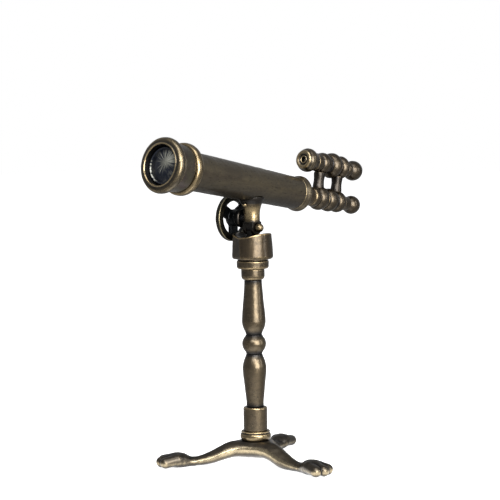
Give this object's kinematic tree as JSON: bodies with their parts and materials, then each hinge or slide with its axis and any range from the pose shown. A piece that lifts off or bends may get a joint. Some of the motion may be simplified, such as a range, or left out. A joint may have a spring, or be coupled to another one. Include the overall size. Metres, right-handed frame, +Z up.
{
  "type": "telescope on tripod",
  "caption": "Miniature brass telescope with a finder, on a turned column with paw-footed legs; it swivels, tilts and focuses",
  "frame": {"origin": "on the column's axis, at the level the paws stand on", "axes": "+Z up along the column; at rest the telescope looks towards -Y and 10.4 degrees up; the tilt pin and the hand wheel's axle lie along X, with the wheel on the -X side"},
  "size_m": [0.0444, 0.0813, 0.0865],
  "materials": {
    "bronze": "antique, worn satin over a cast grain",
    "dark_bronze": "dark antique patina",
    "gold": "antique brass, worn bright on its edges",
    "lens": "polished, dark behind"
  },
  "bodies": {
    "stand": {"tripod_base": "bronze", "base_washer": "dark_bronze", "base_nut": "dark_bronze", "tie_rod": "dark_bronze", "base_collar": "gold", "column_socket": "bronze", "lower_baluster": "bronze", "ball_knop": "gold", "upper_baluster": "bronze", "neck_ring": "bronze", "swivel_seat": "bronze", "thrust_washer": "gold"},
    "head": {"swivel_head": "bronze", "swivel_screw": "dark_bronze"},
    "telescope": {"tilt_pin": "gold", "pin_nut": "dark_bronze", "saddle_post": "gold", "saddle_screws": "gold", "wheel_boss": "dark_bronze", "wheel_axle": "gold", "main_tube": "bronze", "hood_band": "gold", "hood_sleeve": "bronze", "front_rim": "gold", "objective_cell": "dark_bronze", "objective_lens": "lens", "tail_cap": "bronze", "tail_socket": "bronze"},
    "wheel": {"hand_wheel": "bronze"},
    "focuser": {"draw_tube": "gold", "eyepiece_body": "bronze", "eyepiece_barrel": "bronze", "eyepiece_ball": "bronze", "eye_lens": "lens", "finder_posts": "gold", "finder_bell": "gold", "finder_objective": "lens", "finder_body": "bronze", "finder_barrel": "bronze", "finder_ball": "bronze", "finder_eye_lens": "lens"}
  },
  "joints": [
    {"name": "azimuth_swivel", "type": "hinge", "parent": "stand", "child": "head", "pos_m": [0, 0, 0.0539], "axis": [0, 0, 1], "continuous": true},
    {"name": "altitude_tilt", "type": "hinge", "parent": "head", "child": "telescope", "pos_m": [0, 0, 0.06215], "axis": [-1, 0, 0], "range_deg": [-30, 35]},
    {"name": "wheel_spin", "type": "hinge", "parent": "telescope", "child": "wheel", "pos_m": [0, 0, 0.06455], "axis": [1, 0, 0], "continuous": true},
    {"name": "focus_slide", "type": "slide", "parent": "telescope", "child": "focuser", "axis": [0, 0.9836, -0.1805], "range_m": [0, 0.004]}
  ]
}
